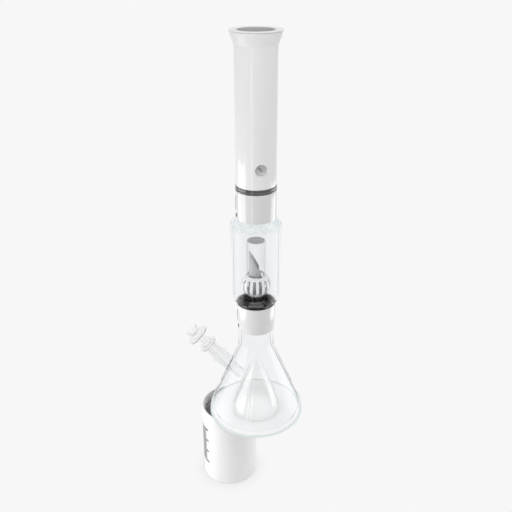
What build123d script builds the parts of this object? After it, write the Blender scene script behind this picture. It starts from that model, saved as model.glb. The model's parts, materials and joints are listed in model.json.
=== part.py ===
from build123d import *
import math
import os

# A modular glass water pipe that stands off-centre on a white screw-mouth cup.
# Millimetres, +Z up. The origin is the centre of the cup's flat underside.
# The pipe is a stack of glass sections on one upright axis. Its heights are
# given above the flask's underside, which lies on the cup's rim.

os.makedirs("parts", exist_ok=True)

# ---- driving dimensions -------------------------------------------------
CUP_R = 40.0             # outer radius of the cup
CUP_H = 120.0            # height of the cup, and of the flask's underside
CUP_WALL = 3.5
CUP_FLOOR = 6.0
CUP_THREAD_DEEP = 18.0   # length of the relieved band that carries the thread
CUP_THREAD_RELIEF = 1.0
CUP_FOOT_ROUND, CUP_RIM_ROUND, CUP_FLOOR_ROUND = 2.0, 0.7, 4.0

PIPE_X, PIPE_Y = 38.8, -13.0   # where the pipe's axis stands over the cup

FLASK_R = 65.6           # widest radius, at the heel
FLASK_HEEL_Z = 5.0
FLASK_HEEL_ROUND = 3.8
FLASK_FLOOR = 8.0
FLASK_WALL = 3.5
SHOULDER_R, SHOULDER_Z = 64.0, 14.0    # where the straight cone starts
SHOULDER_BEND = 8.0
FLOOR_INSET = 1.7                      # the cone's foot is this much wider than the floor
THROAT_Z = 109.7                       # where it meets the neck
THROAT_BEND = 40.0
NECK_R, NECK_BORE_R = 23.6, 19.2
NECK_TOP_R = 21.5        # a neck is thinner inside its collar

CONE_R, CONE_TOP = 35.7, 91.0          # the glass cone inside the flask
CONE_WALL = 3.0
CONE_TIP_R = 3.0
CONE_BULGE = 1.5

COLLAR_H = 37.0          # white sleeves over the necks
COLLAR_NECK_H = 28.0     # from a collar's foot to the neck's end inside it
LOWER_COLLAR_Z = 140.0
LOWER_COLLAR_R, LOWER_COLLAR_FOOT_R = 26.0, 24.4
COLLAR_FOOT_ROUND, COLLAR_TOP_ROUND = 0.8, 0.5
UPPER_COLLAR_Z = 299.0
UPPER_COLLAR_R = 25.5
COLLAR_CLEARANCE = 0.1
INSERT_R = 22.6          # black inserts with the female threads
INSERT_FLANGE, INSERT_ROUND = 2.0, 0.4
SHELF_T, SHELF_HOLE_R = 3.0, 13.0
FEMALE_R, MALE_R = 20.5, 20.2
LOWER_GASKET_R = 22.5
CHAMBER_FLANGE_R, MOUTH_FLANGE_R = 24.8, 26.0
GASKET_T = 1.0
GASKET_PLAY = 0.2        # between a gasket's bore and the threads
MALE_FLANGE, MALE_FLANGE_ROUND = 3.0, 0.5
MALE_LEAD = 0.8          # chamfer that leads the male thread in
MALE_TIP_GAP = 0.6       # a male end stops this far above the shelf
SPOUT_R, SPOUT_BORE_R = 16.0, 12.5
SPOUT_DROP = 10.0        # a spout hangs this far below its flange
SPOUT_GAP = 0.1          # bonded gap between a spout and its thread ring

CHAMBER_R, CHAMBER_WALL = 31.7, 3.2
CHAMBER_FLOOR = 4.0
CHAMBER_SHOULDER_Z = 297.0
CHAMBER_FOOT_BEND, CHAMBER_SHOULDER_BEND = 8.0, 7.0

RISER_R, RISER_BORE_R = 7.5, 5.7
RISER_HOLE_R = 7.6
RISER_FOOT_R, RISER_FOOT_T = 9.6, 4.0
RISER_DROP = 3.0                       # it ends this far below the chamber's floor
RISER_LOW_Z, RISER_HIGH_Z = 232.0, 258.0       # the two ends of its oblique top
LANTERN_FOOT_R = 11.5                  # its closed foot rests on the riser's foot
LANTERN_HOLE_R = 7.6
LANTERN_R, LANTERN_MID_Z = 19.6, 206.0
LANTERN_TOP_Z = 219.0
LANTERN_WALL = 2.0
SLOTS, SLOT_W = 14, 3.0
SLOT_LOW_Z, SLOT_HIGH_Z = 195.0, 215.5
CAP_R, CAP_TOP, CAP_ROUND = 12.0, 267.5, 1.0

TUBE_R, TUBE_BORE_R = 25.0, 21.0       # opal mouth tube
TUBE_FLOOR = 3.0
TUBE_FOOT_ROUND, TUBE_FLOOR_ROUND = 1.0, 2.0
TUBE_TOP = 505.0
MOUTH_TOP = 520.0
MOUTH_R, MOUTH_BORE_R = 30.0, 20.6
MOUTH_WAIST_Z, MOUTH_ROLL_Z = 508.0, 515.0
MOUTH_ROLL, MOUTH_LIP_ROUND = 3.0, 2.5     # how far the rim's outer and inner edges roll over
MOUTH_ROLL_INSET = 0.8
PINCH_Z, PINCH_R = 371.0, 7.0          # ice pinches pressed into the tube
PINCH_SET_OUT = 2.0                    # their centres stand this far off the wall
PINCH_SKIN = 3.2
PINCHES, PINCH_TURN = 3, -75.0

BOWL_MOUTH = (-87.9, 135.1)            # x and height, from the pipe's axis
STEM_AIM = (-17.6, 59.0)               # a point that the side stem aims at
SOCKET_S = 53.0                        # distances along the stem from the bowl's mouth
SOCKET_END_S = 82.0
SOCKET_R, SOCKET_LIP_R, SOCKET_LIP = 11.0, 12.2, 3.0
SOCKET_LIP_ROUND = 1.0
SOCKET_BORE_R = 9.08
SOCKET_HOLE_END_S = 92.0
JOINT_START_S, JOINT_END_S = 50.0, 72.0
JOINT_TAPER = 0.036                    # radius lost per millimetre of ground joint
JOINT_CLEARANCE = 0.08
STEM_R, STEM_BORE_R = 7.5, 5.0
STEM_END_S = 100.0
STEM_DISC_S, STEM_DISC_R = 31.0, 13.5
DISC_T, DISC_ROUND = 3.0, 1.3
STEM_TOP_R = 9.4
DIFFUSER_SLITS, SLIT_W, SLIT_LENGTH = 6, 1.4, 11.0
BOWL_R, BOWL_CUP_R, BOWL_LIP_ROUND = 9.5, 7.8, 0.7
BOWL_LEDGE_S, BOWL_LEDGE_R, BOWL_HOLE_R = 9.0, 4.6, 2.6
BOWL_DISC_S, BOWL_DISC_R = 11.0, 16.0
BOWL_WAIST_R, BOWL_SHOULDER_R, BOWL_SHOULDER_S = 6.3, 8.6, 27.0
BOWL_STEM_R, BOWL_SEAT_R = 5.9, 6.0
BOWL_STEM_END_S = 50.0
SCREEN_R, SCREEN_T = 4.2, 0.5
SCREEN_HOLES, SCREEN_HOLE_R, SCREEN_RING_R = 6, 0.5, 2.0

# ---- shared planes and axes --------------------------------------------
pipe_axis = Axis((PIPE_X, PIPE_Y, 0), (0, 0, 1))
pipe_section = Plane(origin=(PIPE_X, PIPE_Y, CUP_H), x_dir=(1, 0, 0), z_dir=(0, -1, 0))
pipe_level = Plane(origin=(PIPE_X, PIPE_Y, CUP_H))

stem_start = Vector(PIPE_X + BOWL_MOUTH[0], PIPE_Y, CUP_H + BOWL_MOUTH[1])
stem_run = Vector(STEM_AIM[0] - BOWL_MOUTH[0], 0, STEM_AIM[1] - BOWL_MOUTH[1])
stem_dir = stem_run.normalized()
stem_axis = Axis(stem_start, stem_dir)
stem_section = Plane(origin=stem_start, x_dir=(0, 1, 0), z_dir=(stem_dir.Z, 0, -stem_dir.X))


def write(piece, name):
    """Label a finished piece and write it as its own node."""
    piece.part.label = name
    export_step(piece.part, f"parts/{name}.step")


# ---- cup ----------------------------------------------------------------
with BuildPart() as stand_cup:
    with BuildSketch(Plane.XZ):
        with BuildLine():
            Polyline(
                (0, 0), (CUP_R, 0), (CUP_R, CUP_H),
                (CUP_R - CUP_WALL + CUP_THREAD_RELIEF, CUP_H),
                (CUP_R - CUP_WALL + CUP_THREAD_RELIEF, CUP_H - CUP_THREAD_DEEP),
                (CUP_R - CUP_WALL, CUP_H - CUP_THREAD_DEEP - CUP_THREAD_RELIEF),
                (CUP_R - CUP_WALL, CUP_FLOOR), (0, CUP_FLOOR), close=True,
            )
        make_face()
        fillet(vertices().sort_by_distance((CUP_R, 0))[0], CUP_FOOT_ROUND)
        fillet(vertices().sort_by_distance((CUP_R, CUP_H))[0], CUP_RIM_ROUND)
        fillet(vertices().sort_by_distance((CUP_R - CUP_WALL, CUP_FLOOR))[0], CUP_FLOOR_ROUND)
    revolve(axis=Axis.Z)
write(stand_cup, "stand_cup")


# ---- flask --------------------------------------------------------------
def joint_radius(s):
    """Bore of the ground socket at distance s along the stem."""
    return SOCKET_BORE_R - (s - SOCKET_S) * JOINT_TAPER


cone_slope = (SHOULDER_R - NECK_R) / (THROAT_Z - SHOULDER_Z)
wall_across = FLASK_WALL * math.hypot(1, cone_slope)     # the wall, measured level
inner_throat_z = SHOULDER_Z + (SHOULDER_R - wall_across - NECK_BORE_R) / cone_slope
lower_neck_end = LOWER_COLLAR_Z + COLLAR_NECK_H
joint_end_r = joint_radius(JOINT_END_S)

with BuildPart() as flask:
    with BuildSketch(pipe_section):
        with BuildLine():
            Polyline(
                (0, 0), (FLASK_R, 0), (FLASK_R, FLASK_HEEL_Z), (SHOULDER_R, SHOULDER_Z),
                (NECK_R, THROAT_Z), (NECK_R, LOWER_COLLAR_Z), (NECK_TOP_R, LOWER_COLLAR_Z),
                (NECK_TOP_R, lower_neck_end), (0, lower_neck_end), close=True,
            )
        make_face()
        fillet(vertices().sort_by_distance((NECK_R, THROAT_Z))[0], THROAT_BEND)
        fillet(vertices().sort_by_distance((SHOULDER_R, SHOULDER_Z))[0], SHOULDER_BEND)
        fillet(vertices().sort_by_distance((FLASK_R, 0))[0], FLASK_HEEL_ROUND)
    revolve(axis=pipe_axis)
    with BuildSketch(stem_section):
        with BuildLine():
            Polyline(
                (0, SOCKET_S), (SOCKET_LIP_R, SOCKET_S), (SOCKET_LIP_R, SOCKET_S + SOCKET_LIP),
                (SOCKET_R, SOCKET_S + SOCKET_LIP + 1), (SOCKET_R, SOCKET_END_S),
                (0, SOCKET_END_S), close=True,
            )
        make_face()
        fillet(vertices().sort_by_distance((SOCKET_LIP_R, SOCKET_S))[0], SOCKET_LIP_ROUND)
    revolve(axis=stem_axis)
    with BuildSketch(pipe_section):
        with BuildLine():
            Polyline(
                (0, FLASK_FLOOR), (SHOULDER_R - wall_across - FLOOR_INSET, FLASK_FLOOR),
                (SHOULDER_R - wall_across, SHOULDER_Z), (NECK_BORE_R, inner_throat_z),
                (NECK_BORE_R, lower_neck_end), (0, lower_neck_end), close=True,
            )
        make_face()
        fillet(vertices().sort_by_distance((NECK_BORE_R, inner_throat_z))[0], THROAT_BEND)
    revolve(axis=pipe_axis, mode=Mode.SUBTRACT)
    with BuildSketch(stem_section):
        with BuildLine():
            Polyline(
                (0, SOCKET_S), (SOCKET_BORE_R, SOCKET_S), (joint_end_r, JOINT_END_S),
                (joint_end_r, SOCKET_HOLE_END_S), (0, SOCKET_HOLE_END_S), close=True,
            )
        make_face()
    revolve(axis=stem_axis, mode=Mode.SUBTRACT)
write(flask, "flask")

with BuildPart() as inner_cone:
    with BuildSketch(pipe_section):
        with BuildLine():
            shoulder_z = CONE_TOP - CONE_TIP_R
            middle = ((CONE_R + CONE_TIP_R) / 2 + CONE_BULGE, (FLASK_FLOOR + shoulder_z) / 2)
            inside = ThreePointArc(
                (CONE_R - CONE_WALL, FLASK_FLOOR),
                (middle[0] - CONE_WALL, middle[1]),
                (0.4, shoulder_z - CONE_WALL),
            )
            Line(inside @ 1, (0, shoulder_z - CONE_WALL))
            Line((0, shoulder_z - CONE_WALL), (0, CONE_TOP))
            Line((0, CONE_TOP), (0.6, CONE_TOP))
            TangentArc((0.6, CONE_TOP), (CONE_TIP_R, shoulder_z), tangent=(1, 0))
            outside = ThreePointArc((CONE_TIP_R, shoulder_z), middle, (CONE_R, FLASK_FLOOR))
            Line(outside @ 1, inside @ 0)
        make_face()
    revolve(axis=pipe_axis)
write(inner_cone, "inner_cone")


# ---- threaded joints ----------------------------------------------------
def collar(foot_z, foot_r, top_r):
    """White sleeve that stands on a neck's step and holds the black insert."""
    with BuildPart() as piece:
        with BuildSketch(pipe_section):
            with BuildLine():
                Polyline(
                    (NECK_TOP_R + COLLAR_CLEARANCE, foot_z), (foot_r, foot_z),
                    (top_r, foot_z + COLLAR_H), (INSERT_R + COLLAR_CLEARANCE, foot_z + COLLAR_H),
                    (INSERT_R + COLLAR_CLEARANCE, foot_z + COLLAR_NECK_H),
                    (NECK_TOP_R + COLLAR_CLEARANCE, foot_z + COLLAR_NECK_H), close=True,
                )
            make_face()
            fillet(vertices().sort_by_distance((foot_r, foot_z))[0], COLLAR_FOOT_ROUND)
            fillet(vertices().sort_by_distance((top_r, foot_z + COLLAR_H))[0], COLLAR_TOP_ROUND)
        revolve(axis=pipe_axis)
    return piece


def thread_insert(foot_z, flange_r):
    """Black insert: a shelf on the neck's end, the threaded bore and a flange on the collar."""
    base_z = foot_z + COLLAR_NECK_H
    flange_z = foot_z + COLLAR_H
    with BuildPart() as piece:
        with BuildSketch(pipe_section):
            with BuildLine():
                Polyline(
                    (SHELF_HOLE_R, base_z), (INSERT_R, base_z), (INSERT_R, flange_z),
                    (flange_r, flange_z), (flange_r, flange_z + INSERT_FLANGE),
                    (FEMALE_R, flange_z + INSERT_FLANGE), (FEMALE_R, base_z + SHELF_T),
                    (SHELF_HOLE_R, base_z + SHELF_T), close=True,
                )
            make_face()
            rim = vertices().sort_by_distance((flange_r, flange_z + INSERT_FLANGE))[0]
            fillet(rim, INSERT_ROUND)
        revolve(axis=pipe_axis)
    return piece


def gasket(foot_z, outer_r):
    """Flat ring between an insert's flange and the male flange over it."""
    with BuildPart() as piece:
        with BuildSketch(pipe_level.offset(foot_z + COLLAR_H + INSERT_FLANGE)):
            Circle(outer_r)
            Circle(FEMALE_R + GASKET_PLAY, mode=Mode.SUBTRACT)
        extrude(amount=GASKET_T)
    return piece


def flange_z(foot_z):
    """Level of a male flange's top, where the glass above it is bonded."""
    return foot_z + COLLAR_H + INSERT_FLANGE + GASKET_T + MALE_FLANGE


def thread_ring(foot_z, flange_r):
    """Male ring: a threaded skirt with a flange on top, round the glass spout."""
    top_z = flange_z(foot_z)
    tip_z = foot_z + COLLAR_NECK_H + SHELF_T + MALE_TIP_GAP
    with BuildPart() as piece:
        with BuildSketch(pipe_section):
            with BuildLine():
                Polyline(
                    (SPOUT_R + SPOUT_GAP, tip_z), (MALE_R, tip_z), (MALE_R, top_z - MALE_FLANGE),
                    (flange_r, top_z - MALE_FLANGE), (flange_r, top_z),
                    (SPOUT_R + SPOUT_GAP, top_z), close=True,
                )
            make_face()
            chamfer(vertices().sort_by_distance((MALE_R, tip_z))[0], MALE_LEAD)
            fillet(vertices().sort_by_distance((flange_r, top_z))[0], MALE_FLANGE_ROUND)
        revolve(axis=pipe_axis)
    return piece


write(collar(LOWER_COLLAR_Z, LOWER_COLLAR_FOOT_R, LOWER_COLLAR_R), "lower_collar")
write(thread_insert(LOWER_COLLAR_Z, LOWER_COLLAR_R), "lower_thread_insert")
write(gasket(LOWER_COLLAR_Z, LOWER_GASKET_R), "lower_gasket")
write(thread_ring(LOWER_COLLAR_Z, CHAMBER_FLANGE_R), "chamber_thread_ring")
write(collar(UPPER_COLLAR_Z, UPPER_COLLAR_R, UPPER_COLLAR_R), "upper_collar")
write(thread_insert(UPPER_COLLAR_Z, UPPER_COLLAR_R), "upper_thread_insert")
write(gasket(UPPER_COLLAR_Z, UPPER_COLLAR_R), "upper_gasket")
write(thread_ring(UPPER_COLLAR_Z, MOUTH_FLANGE_R), "mouthpiece_thread_ring")

# ---- percolator chamber -------------------------------------------------
chamber_foot = flange_z(LOWER_COLLAR_Z)
chamber_floor = chamber_foot + CHAMBER_FLOOR
chamber_bore_r = CHAMBER_R - CHAMBER_WALL
chamber_roof = CHAMBER_SHOULDER_Z - CHAMBER_WALL
upper_neck_end = UPPER_COLLAR_Z + COLLAR_NECK_H

with BuildPart() as chamber:
    with BuildSketch(pipe_section):
        with BuildLine():
            Polyline(
                (SPOUT_BORE_R, chamber_foot - SPOUT_DROP), (SPOUT_R, chamber_foot - SPOUT_DROP),
                (SPOUT_R, chamber_foot), (CHAMBER_R, chamber_foot),
                (CHAMBER_R, CHAMBER_SHOULDER_Z), (NECK_R, CHAMBER_SHOULDER_Z),
                (NECK_R, UPPER_COLLAR_Z), (NECK_TOP_R, UPPER_COLLAR_Z),
                (NECK_TOP_R, upper_neck_end), (NECK_BORE_R, upper_neck_end),
                (NECK_BORE_R, chamber_roof), (chamber_bore_r, chamber_roof),
                (chamber_bore_r, chamber_floor), (RISER_HOLE_R, chamber_floor),
                (RISER_HOLE_R, chamber_foot), (SPOUT_BORE_R, chamber_foot), close=True,
            )
        make_face()
        fillet(vertices().sort_by_distance((CHAMBER_R, chamber_foot))[0], CHAMBER_FOOT_BEND)
        fillet(
            vertices().sort_by_distance((CHAMBER_R, CHAMBER_SHOULDER_Z))[0],
            CHAMBER_SHOULDER_BEND,
        )
        fillet(
            vertices().sort_by_distance((chamber_bore_r, chamber_floor))[0],
            CHAMBER_FOOT_BEND - CHAMBER_WALL,
        )
        fillet(
            vertices().sort_by_distance((chamber_bore_r, chamber_roof))[0],
            CHAMBER_SHOULDER_BEND - CHAMBER_WALL,
        )
    revolve(axis=pipe_axis)
write(chamber, "chamber")

# the riser stands in the floor's hole on a flat foot, and its top is cut at a slant
slant = math.atan2(RISER_HIGH_Z - RISER_LOW_Z, 2 * RISER_R)
slant_middle = (PIPE_X, PIPE_Y, CUP_H + (RISER_HIGH_Z + RISER_LOW_Z) / 2)
slant_plane = Plane(
    origin=slant_middle, x_dir=(0, 1, 0), z_dir=(math.sin(slant), 0, math.cos(slant))
)
with BuildPart() as percolator_riser:
    with BuildSketch(pipe_section):
        with BuildLine():
            Polyline(
                (RISER_BORE_R, chamber_foot - RISER_DROP), (RISER_R, chamber_foot - RISER_DROP),
                (RISER_R, chamber_floor), (RISER_FOOT_R, chamber_floor),
                (RISER_FOOT_R, chamber_floor + RISER_FOOT_T),
                (RISER_R, chamber_floor + RISER_FOOT_T), (RISER_R, RISER_HIGH_Z),
                (RISER_BORE_R, RISER_HIGH_Z), close=True,
            )
        make_face()
    revolve(axis=pipe_axis)
    split(bisect_by=slant_plane, keep=Keep.BOTTOM)
write(percolator_riser, "percolator_riser")

# the slotted bulb has a flat foot with a hole that the riser passes through
lantern_foot = chamber_floor + RISER_FOOT_T
with BuildPart() as percolator_lantern:
    with BuildSketch(pipe_section):
        with BuildLine():
            foot = Line((LANTERN_HOLE_R, lantern_foot), (LANTERN_FOOT_R, lantern_foot))
            outside = ThreePointArc(
                foot @ 1, (LANTERN_R, LANTERN_MID_Z), (CAP_R, LANTERN_TOP_Z)
            )
            rim = Line(outside @ 1, (CAP_R - LANTERN_WALL, LANTERN_TOP_Z))
            inside = ThreePointArc(
                rim @ 1, (LANTERN_R - LANTERN_WALL, LANTERN_MID_Z),
                (LANTERN_FOOT_R, lantern_foot + LANTERN_WALL),
            )
            floor = Line(inside @ 1, (LANTERN_HOLE_R, lantern_foot + LANTERN_WALL))
            Line(floor @ 1, foot @ 0)
        make_face()
    revolve(axis=pipe_axis)
    with BuildSketch(pipe_level.offset(SLOT_LOW_Z)):
        with PolarLocations(LANTERN_R, SLOTS):
            SlotOverall(LANTERN_R, SLOT_W)
    extrude(amount=SLOT_HIGH_Z - SLOT_LOW_Z, mode=Mode.SUBTRACT)
write(percolator_lantern, "percolator_lantern")

with BuildPart() as percolator_cap:
    with BuildSketch(pipe_section):
        with BuildLine():
            Polyline(
                (CAP_R - LANTERN_WALL, LANTERN_TOP_Z), (CAP_R, LANTERN_TOP_Z), (CAP_R, CAP_TOP),
                (0, CAP_TOP), (0, CAP_TOP - LANTERN_WALL),
                (CAP_R - LANTERN_WALL, CAP_TOP - LANTERN_WALL), close=True,
            )
        make_face()
        fillet(vertices().sort_by_distance((CAP_R, CAP_TOP))[0], CAP_ROUND)
    revolve(axis=pipe_axis)
write(percolator_cap, "percolator_cap")

# ---- mouthpiece ---------------------------------------------------------
tube_foot = flange_z(UPPER_COLLAR_Z)
tube_floor = tube_foot + TUBE_FLOOR
pinch_level = pipe_level.offset(PINCH_Z)

# round bumps that stand into the bore behind the ice pinches
with BuildPart() as pinch_bumps:
    with Locations(pinch_level):
        with PolarLocations(TUBE_R + PINCH_SET_OUT, PINCHES, start_angle=PINCH_TURN):
            Sphere(PINCH_R + PINCH_SKIN)
        Cylinder((TUBE_R + TUBE_BORE_R) / 2, 4 * PINCH_R, mode=Mode.INTERSECT)

with BuildPart() as mouthpiece_tube:
    with BuildSketch(pipe_section):
        with BuildLine():
            Polyline(
                (SPOUT_BORE_R, tube_foot - SPOUT_DROP), (SPOUT_R, tube_foot - SPOUT_DROP),
                (SPOUT_R, tube_foot), (TUBE_R, tube_foot), (TUBE_R, TUBE_TOP),
                (TUBE_BORE_R, TUBE_TOP), (TUBE_BORE_R, tube_floor), (SPOUT_BORE_R, tube_floor),
                close=True,
            )
        make_face()
        fillet(vertices().sort_by_distance((TUBE_R, tube_foot))[0], TUBE_FOOT_ROUND)
        fillet(vertices().sort_by_distance((TUBE_BORE_R, tube_floor))[0], TUBE_FLOOR_ROUND)
    revolve(axis=pipe_axis)
    add(pinch_bumps.part)
    with Locations(pinch_level):
        with PolarLocations(TUBE_R + PINCH_SET_OUT, PINCHES, start_angle=PINCH_TURN):
            Sphere(PINCH_R, mode=Mode.SUBTRACT)
write(mouthpiece_tube, "mouthpiece_tube")

with BuildPart() as mouth_flare:
    with BuildSketch(pipe_section):
        with BuildLine():
            Line((TUBE_BORE_R, TUBE_TOP), (TUBE_R, TUBE_TOP))
            Line((TUBE_R, TUBE_TOP), (TUBE_R, MOUTH_WAIST_Z))
            trumpet = TangentArc(
                (TUBE_R, MOUTH_WAIST_Z), (MOUTH_R - MOUTH_ROLL_INSET, MOUTH_ROLL_Z), tangent=(0, 1)
            )
            roll = ThreePointArc(
                trumpet @ 1, (MOUTH_R, (MOUTH_ROLL_Z + MOUTH_TOP) / 2),
                (MOUTH_R - MOUTH_ROLL, MOUTH_TOP),
            )
            brim = Line(roll @ 1, (MOUTH_BORE_R + MOUTH_LIP_ROUND, MOUTH_TOP))
            lip = TangentArc(brim @ 1, (MOUTH_BORE_R, MOUTH_TOP - MOUTH_ROLL), tangent=(-1, 0))
            Line(lip @ 1, (TUBE_BORE_R, TUBE_TOP))
        make_face()
    revolve(axis=pipe_axis)
write(mouth_flare, "mouth_flare")

# ---- side stem and bowl -------------------------------------------------
with BuildPart() as downstem:
    with BuildSketch(stem_section):
        with BuildLine():
            Polyline(
                (BOWL_SEAT_R, STEM_DISC_S), (STEM_DISC_R, STEM_DISC_S),
                (STEM_DISC_R, STEM_DISC_S + DISC_T), (STEM_TOP_R, STEM_DISC_S + DISC_T),
                (STEM_TOP_R, JOINT_START_S - 1),
                (joint_radius(JOINT_START_S) - JOINT_CLEARANCE, JOINT_START_S),
                (joint_end_r - JOINT_CLEARANCE, JOINT_END_S), (STEM_R, JOINT_END_S + 1),
                (STEM_R, STEM_END_S), (STEM_BORE_R, STEM_END_S),
                (STEM_BORE_R, BOWL_STEM_END_S + 2), (BOWL_SEAT_R, BOWL_STEM_END_S + 1),
                close=True,
            )
        make_face()
        fillet(vertices().sort_by_distance((STEM_DISC_R, STEM_DISC_S))[0], DISC_ROUND)
        fillet(vertices().sort_by_distance((STEM_DISC_R, STEM_DISC_S + DISC_T))[0], DISC_ROUND)
    revolve(axis=stem_axis)
    with BuildSketch(Plane(origin=stem_axis.position + stem_dir * STEM_END_S, z_dir=-stem_dir)):
        with PolarLocations(STEM_R, DIFFUSER_SLITS):
            Rectangle(STEM_R, SLIT_W)
    extrude(amount=SLIT_LENGTH, mode=Mode.SUBTRACT)
write(downstem, "downstem")

with BuildPart() as bowl:
    with BuildSketch(stem_section):
        with BuildLine():
            Polyline(
                (BOWL_CUP_R, 0), (BOWL_R, 0), (BOWL_WAIST_R, BOWL_DISC_S),
                (BOWL_DISC_R, BOWL_DISC_S), (BOWL_DISC_R, BOWL_DISC_S + DISC_T),
                (BOWL_WAIST_R, BOWL_DISC_S + DISC_T), (BOWL_WAIST_R, BOWL_SHOULDER_S - 3),
                (BOWL_SHOULDER_R, BOWL_SHOULDER_S), (BOWL_SHOULDER_R, STEM_DISC_S),
                (BOWL_STEM_R, STEM_DISC_S), (BOWL_STEM_R, BOWL_STEM_END_S),
                (BOWL_HOLE_R, BOWL_STEM_END_S), (BOWL_HOLE_R, BOWL_LEDGE_S),
                (BOWL_LEDGE_R, BOWL_LEDGE_S), close=True,
            )
        make_face()
        fillet(vertices().sort_by_distance((BOWL_DISC_R, BOWL_DISC_S))[0], DISC_ROUND)
        fillet(vertices().sort_by_distance((BOWL_DISC_R, BOWL_DISC_S + DISC_T))[0], DISC_ROUND)
        fillet(vertices().sort_by_distance((BOWL_R, 0))[0], BOWL_LIP_ROUND)
    revolve(axis=stem_axis)
write(bowl, "bowl")

screen_plane = Plane(origin=stem_axis.position + stem_dir * BOWL_LEDGE_S, z_dir=-stem_dir)
with BuildPart() as bowl_screen:
    with BuildSketch(screen_plane):
        Circle(SCREEN_R)
        Circle(SCREEN_HOLE_R, mode=Mode.SUBTRACT)
        with PolarLocations(SCREEN_RING_R, SCREEN_HOLES):
            Circle(SCREEN_HOLE_R, mode=Mode.SUBTRACT)
    extrude(amount=SCREEN_T)
write(bowl_screen, "bowl_screen")
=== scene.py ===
import json
import math

import bmesh
import bpy
from mathutils import Matrix, Vector


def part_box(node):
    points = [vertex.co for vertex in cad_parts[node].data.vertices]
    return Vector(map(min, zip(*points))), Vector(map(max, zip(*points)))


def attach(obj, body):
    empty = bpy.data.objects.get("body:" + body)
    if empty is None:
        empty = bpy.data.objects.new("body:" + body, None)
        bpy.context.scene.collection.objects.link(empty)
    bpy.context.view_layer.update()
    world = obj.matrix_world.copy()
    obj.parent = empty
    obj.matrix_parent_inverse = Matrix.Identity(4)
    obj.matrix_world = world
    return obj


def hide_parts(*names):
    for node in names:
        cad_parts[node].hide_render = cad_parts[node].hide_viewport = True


# A modular glass water pipe on a white cup: the glass, collars, threads and marks
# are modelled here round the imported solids. Metres, +Z up.

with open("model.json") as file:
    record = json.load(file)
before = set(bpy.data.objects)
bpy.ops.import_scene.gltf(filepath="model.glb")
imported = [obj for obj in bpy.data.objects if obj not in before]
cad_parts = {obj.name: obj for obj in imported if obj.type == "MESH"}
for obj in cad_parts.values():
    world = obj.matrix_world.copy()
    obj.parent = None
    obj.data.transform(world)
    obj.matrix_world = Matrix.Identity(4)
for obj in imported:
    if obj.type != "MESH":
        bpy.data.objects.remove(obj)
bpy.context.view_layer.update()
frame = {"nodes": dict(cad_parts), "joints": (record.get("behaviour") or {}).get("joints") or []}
bpy.ops.object.select_all(action="DESELECT")

MM = 0.001
TURN_STEPS = 128                # faces round a turned piece
SMALL_TURN_STEPS = 64           # and round the small side stem
THREAD_STEPS = 72               # faces along one turn of a thread
THREAD_TURNS = 3
GAP = 0.02                      # millimetres left between pieces that touch


# ---- places taken from the frame ----------------------------------------
def middle(node):
    low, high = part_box(node)
    return (Vector(low) + Vector(high)) / 2


def bottom(node):
    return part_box(node)[0][2]


def top(node):
    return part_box(node)[1][2]


def radius(node):
    low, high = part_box(node)
    return (high[1] - low[1]) / 2


pipe = middle("mouthpiece_thread_ring")
PIPE_FOOT = bottom("flask")
joint_axis = {joint["name"]: Vector(joint["axis"]) for joint in frame["joints"]}
stem_out = joint_axis["downstem_slide"].normalized()
stem_point = middle("bowl_screen")

# sections of pieces on the pipe are drawn round Z and set down on its axis
on_pipe = Matrix.Translation((pipe.x, pipe.y, 0))
# sections of the side stem are drawn with Z pointing out of the flask, 0 at the screen
on_stem = Matrix.Translation(stem_point) @ stem_out.to_track_quat("Z", "Y").to_matrix().to_4x4()


def height_of(z):
    """A level in the frame as a height above the flask's underside, in millimetres."""
    return round((z - PIPE_FOOT) / MM, 2)


def level(height):
    """A height above the flask's underside, in millimetres, as a level in the frame."""
    return PIPE_FOOT + height * MM


def section(*corners):
    """Corners on the pipe in millimetres above the flask's underside, as (r, height, bend)."""
    return [(c[0] * MM, level(c[1]), (c[2] if len(c) > 2 else 0) * MM) for c in corners]


# heights on the pipe, in millimetres above the flask's underside
FLASK_FLOOR = height_of(bottom("inner_cone"))           # the cone stands on it
LOWER_JOINT = height_of(bottom("lower_collar"))
CHAMBER_FOOT = height_of(top("chamber_thread_ring"))
LANTERN_FOOT = height_of(bottom("percolator_lantern"))
CAP_FOOT = height_of(bottom("percolator_cap"))
CAP_TOP = height_of(top("percolator_cap"))
UPPER_JOINT = height_of(bottom("upper_collar"))
TUBE_FOOT = height_of(top("mouthpiece_thread_ring"))
FLARE_FOOT = height_of(bottom("mouth_flare"))
MOUTH_TOP = height_of(top("mouth_flare"))
PINCH_HEIGHT = 366

# heights in a screwed joint, in millimetres above the foot of its white sleeve
SEAT, SLEEVE_TOP, SEAL_FOOT, SEAL_TOP = 28, 37, 39, 40

# radii that several pieces share, in millimetres
SHOULDER_R = 23.6               # the glass just under a sleeve
NECK_R, NECK_BORE = 21.5, 19.2  # the glass neck inside a sleeve
SPIGOT_R, SPIGOT_BORE = 16, 12.5
INSERT_R = 22.5                 # the black insert inside a sleeve
TUBE_R, TUBE_BORE = 25, 21      # the mouth tube

# places along the side stem, in millimetres from the bowl's mouth down into the flask
SCREEN = 8.75                   # the middle of the screen in the bowl
BOWL_LEDGE = 9
BOWL_GRIP = 11
STEM_MOUTH = 31                 # the bowl's foot stands on it
BOWL_END = 50
SOCKET_MOUTH = 53
JOINT_END = 72
SOCKET_END = 82
HOLE_END = 92
STEM_END = 100


def stem_level(distance):
    """A distance from the bowl's mouth, in millimetres, as a height over the bowl's screen."""
    return (SCREEN - distance) * MM


def stem_section(*corners):
    """Corners round the stem in millimetres, as (r, distance from the bowl's mouth, bend)."""
    return [(c[0] * MM, stem_level(c[1]), (c[2] if len(c) > 2 else 0) * MM) for c in corners]


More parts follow.
